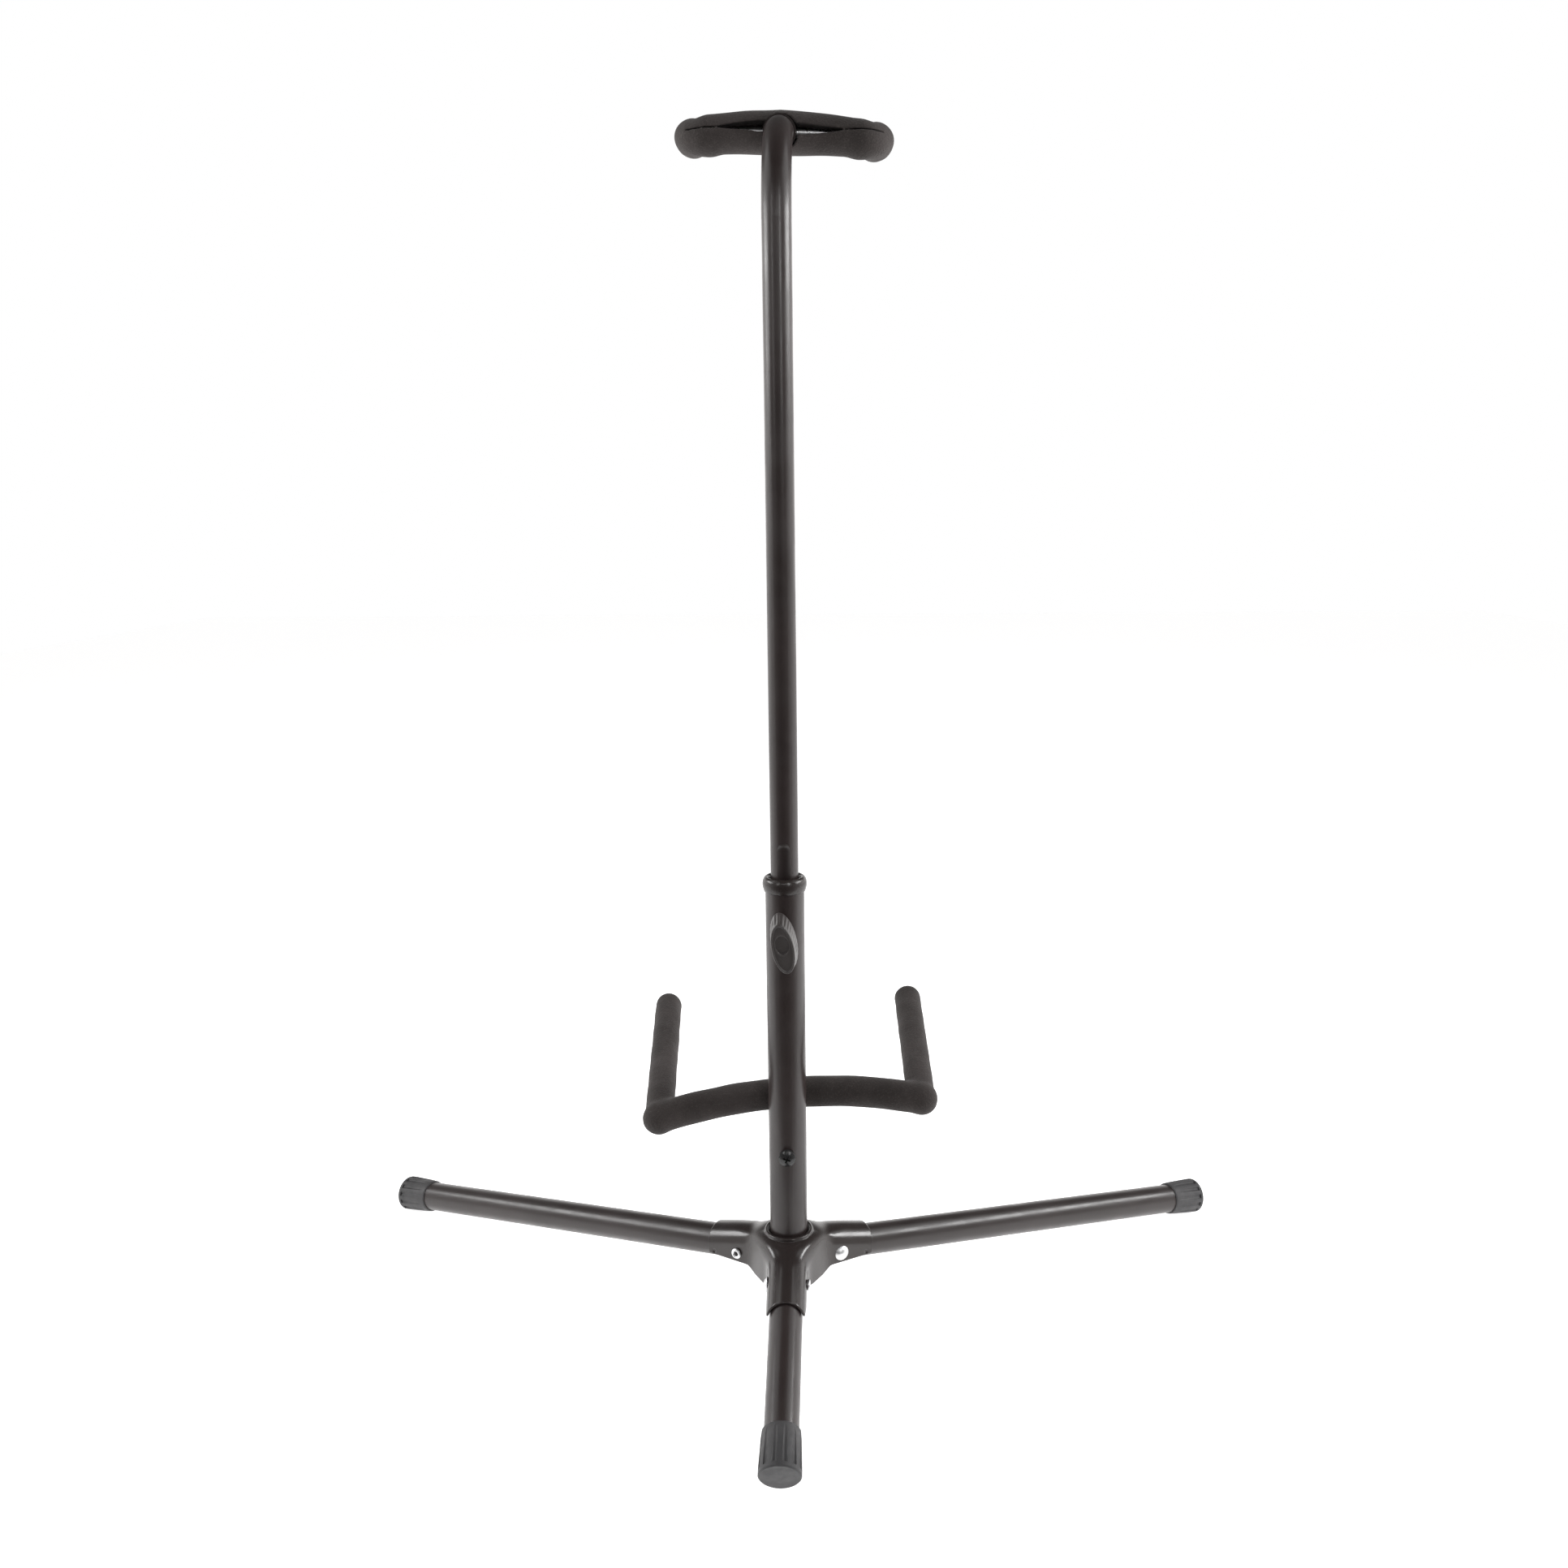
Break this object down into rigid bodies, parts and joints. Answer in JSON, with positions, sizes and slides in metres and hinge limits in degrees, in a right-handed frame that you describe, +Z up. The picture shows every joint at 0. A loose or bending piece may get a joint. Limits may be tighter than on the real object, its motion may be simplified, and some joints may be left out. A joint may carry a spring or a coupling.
{
  "type": "guitar stand",
  "caption": "Folding tripod guitar stand with a height-adjustable neck tube, a foam-covered yoke for the guitar's neck and a padded cradle for its body",
  "frame": {"origin": "on the floor, on the axis of the post", "axes": "+Z up along the post; +Y towards the side the guitar hangs on, with the rear leg on -Y; +X to the right seen from behind"},
  "size_m": [0.5774, 0.3121, 0.723],
  "materials": {
    "powder_coat_hub": "semi-gloss black powder coat on pressed sheet steel",
    "powder_coat_tube": "semi-gloss black powder coat on drawn steel tube",
    "powder_coat_rod": "semi-gloss black powder coat on round steel rod",
    "rivet_steel": "bright zinc-plated steel",
    "foot_rubber": "matte dark grey moulded rubber",
    "collar_plastic": "glossy black moulded plastic",
    "foam": "matte charcoal closed-cell foam",
    "black_screw": "black oxide steel",
    "plain_steel": "zinc-plated steel",
    "knob_plastic": "satin dark grey moulded plastic"
  },
  "bodies": {
    "base": {"hub": "powder_coat_hub", "pivot_rivet_left": "rivet_steel", "pivot_rivet_right": "rivet_steel", "pivot_rivet_rear": "rivet_steel", "lower_post": "powder_coat_tube", "post_collar": "collar_plastic", "cradle_plate": "powder_coat_hub", "cradle_rod": "powder_coat_rod", "cradle_screw": "black_screw", "cradle_nut": "plain_steel", "cradle_foam_left": "foam", "cradle_foam_right": "foam", "lock_nut": "powder_coat_hub"},
    "neck": {"neck_tube": "powder_coat_tube", "yoke_socket": "powder_coat_hub", "yoke_rod": "powder_coat_rod", "yoke_foam": "foam"},
    "left_leg": {"leg_left": "powder_coat_tube", "foot_left": "foot_rubber"},
    "right_leg": {"leg_right": "powder_coat_tube", "foot_right": "foot_rubber"},
    "rear_leg": {"leg_rear": "powder_coat_tube", "foot_rear": "foot_rubber"},
    "knob": {"lock_stud": "plain_steel", "knob_grip": "knob_plastic", "knob_cap": "knob_plastic"}
  },
  "joints": [
    {"name": "neck_slide", "type": "slide", "parent": "base", "child": "neck", "axis": [0, 0, 1], "range_m": [-0.048, 0.07]},
    {"name": "left_leg_fold", "type": "hinge", "parent": "base", "child": "left_leg", "pos_m": [-0.02598, 0.015, 0.056], "axis": [-0.5, -0.866, 0], "range_deg": [0, 80]},
    {"name": "right_leg_fold", "type": "hinge", "parent": "base", "child": "right_leg", "pos_m": [0.02598, 0.015, 0.056], "axis": [-0.5, 0.866, 0], "range_deg": [0, 80]},
    {"name": "rear_leg_fold", "type": "hinge", "parent": "base", "child": "rear_leg", "pos_m": [0, -0.03, 0.056], "axis": [1, 0, 0], "range_deg": [0, 64]},
    {"name": "knob_turn", "type": "hinge", "parent": "base", "child": "knob", "pos_m": [0, 0, 0.2596], "axis": [0, 1, 0], "range_deg": [0, 360]}
  ]
}
